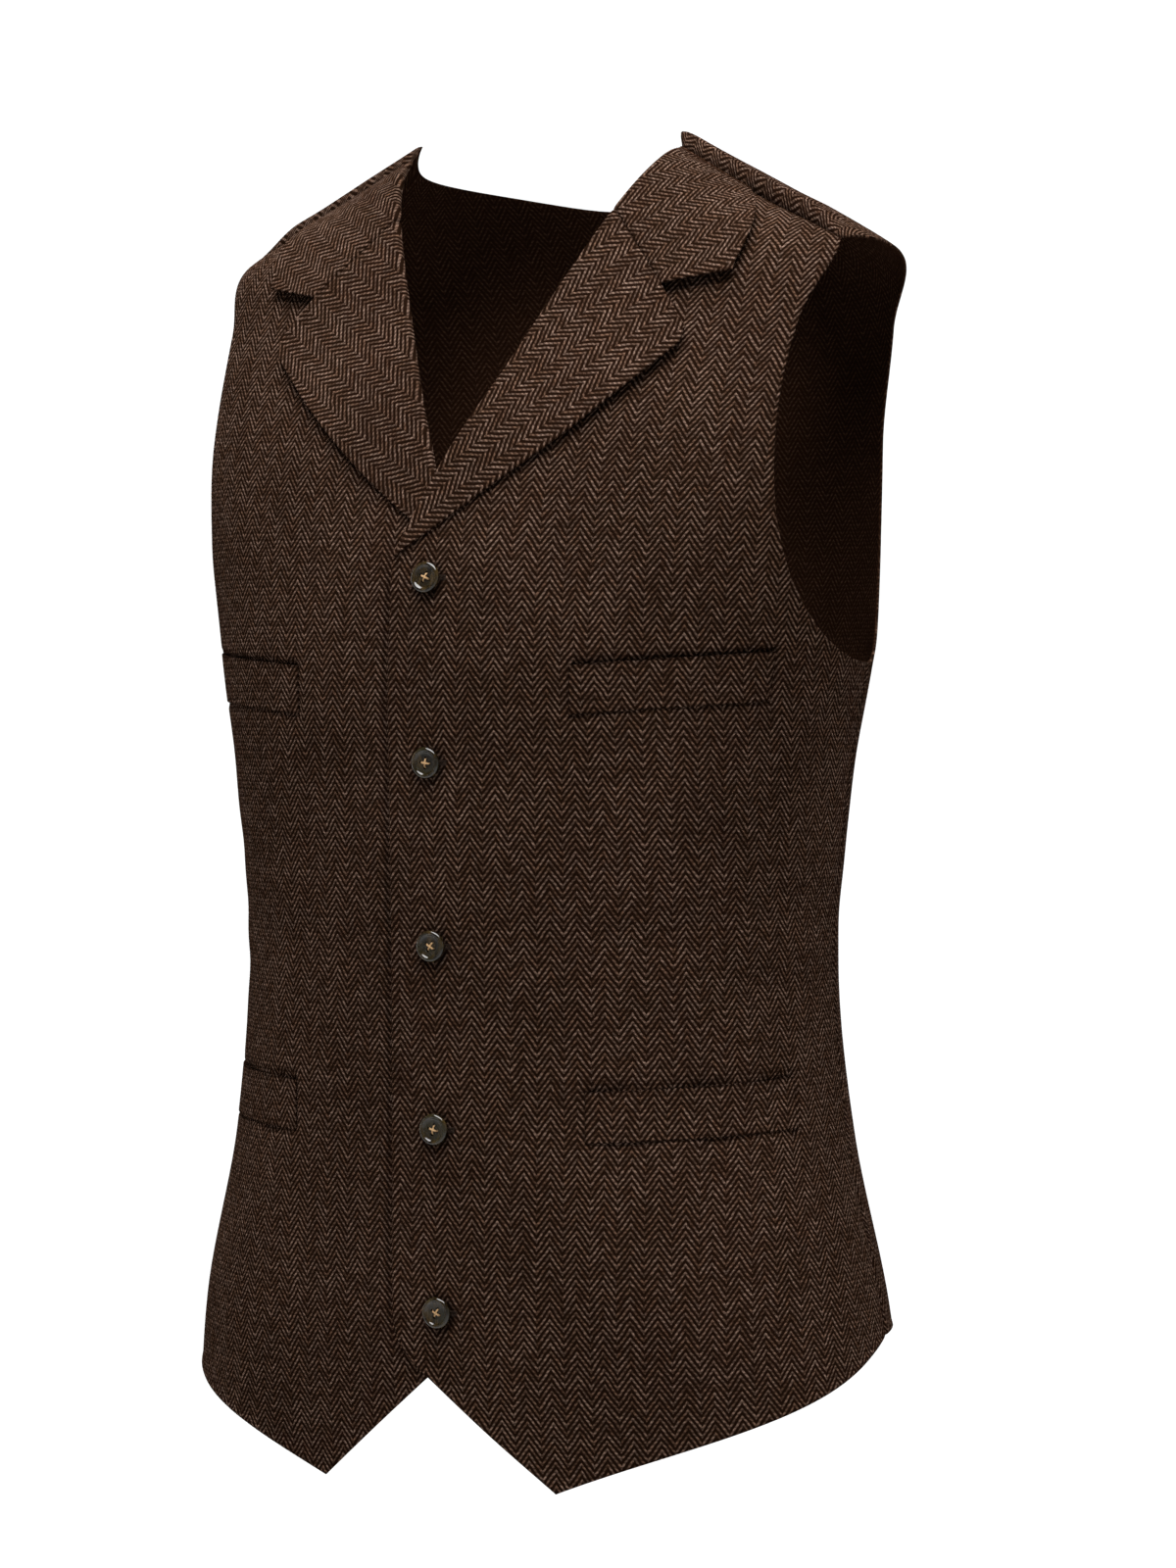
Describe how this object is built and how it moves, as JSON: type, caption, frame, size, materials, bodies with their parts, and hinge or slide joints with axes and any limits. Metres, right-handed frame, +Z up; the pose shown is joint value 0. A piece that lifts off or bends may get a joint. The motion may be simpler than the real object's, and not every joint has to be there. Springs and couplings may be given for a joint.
{
  "type": "suit waistcoat",
  "caption": "Single-breasted suit waistcoat in herringbone tweed with notch lapels, buttoned front, welt pockets and pointed front hem, filled out as worn.",
  "frame": {"origin": "on the middle plane, level with the two neck points, where the wearer's shoulders carry the garment", "axes": "+Z up, -Y to the front, +X to the wearer's left"},
  "size_m": [0.3838, 0.2551, 0.6879],
  "materials": {
    "tweed": "brown herringbone wool tweed, matt and slightly hairy",
    "button": "polished dark imitation horn"
  },
  "bodies": {
    "root": {"front_left": "tweed", "front_right": "tweed", "back_left": "tweed", "back_right": "tweed", "lapel_left": "tweed", "lapel_right": "tweed", "collar_left": "tweed", "collar_right": "tweed", "welt_chest_left": "tweed", "welt_chest_right": "tweed", "welt_waist_left": "tweed", "welt_waist_right": "tweed", "button_1": "button", "button_2": "button", "button_3": "button", "button_4": "button", "button_5": "button"}
  },
  "joints": []
}
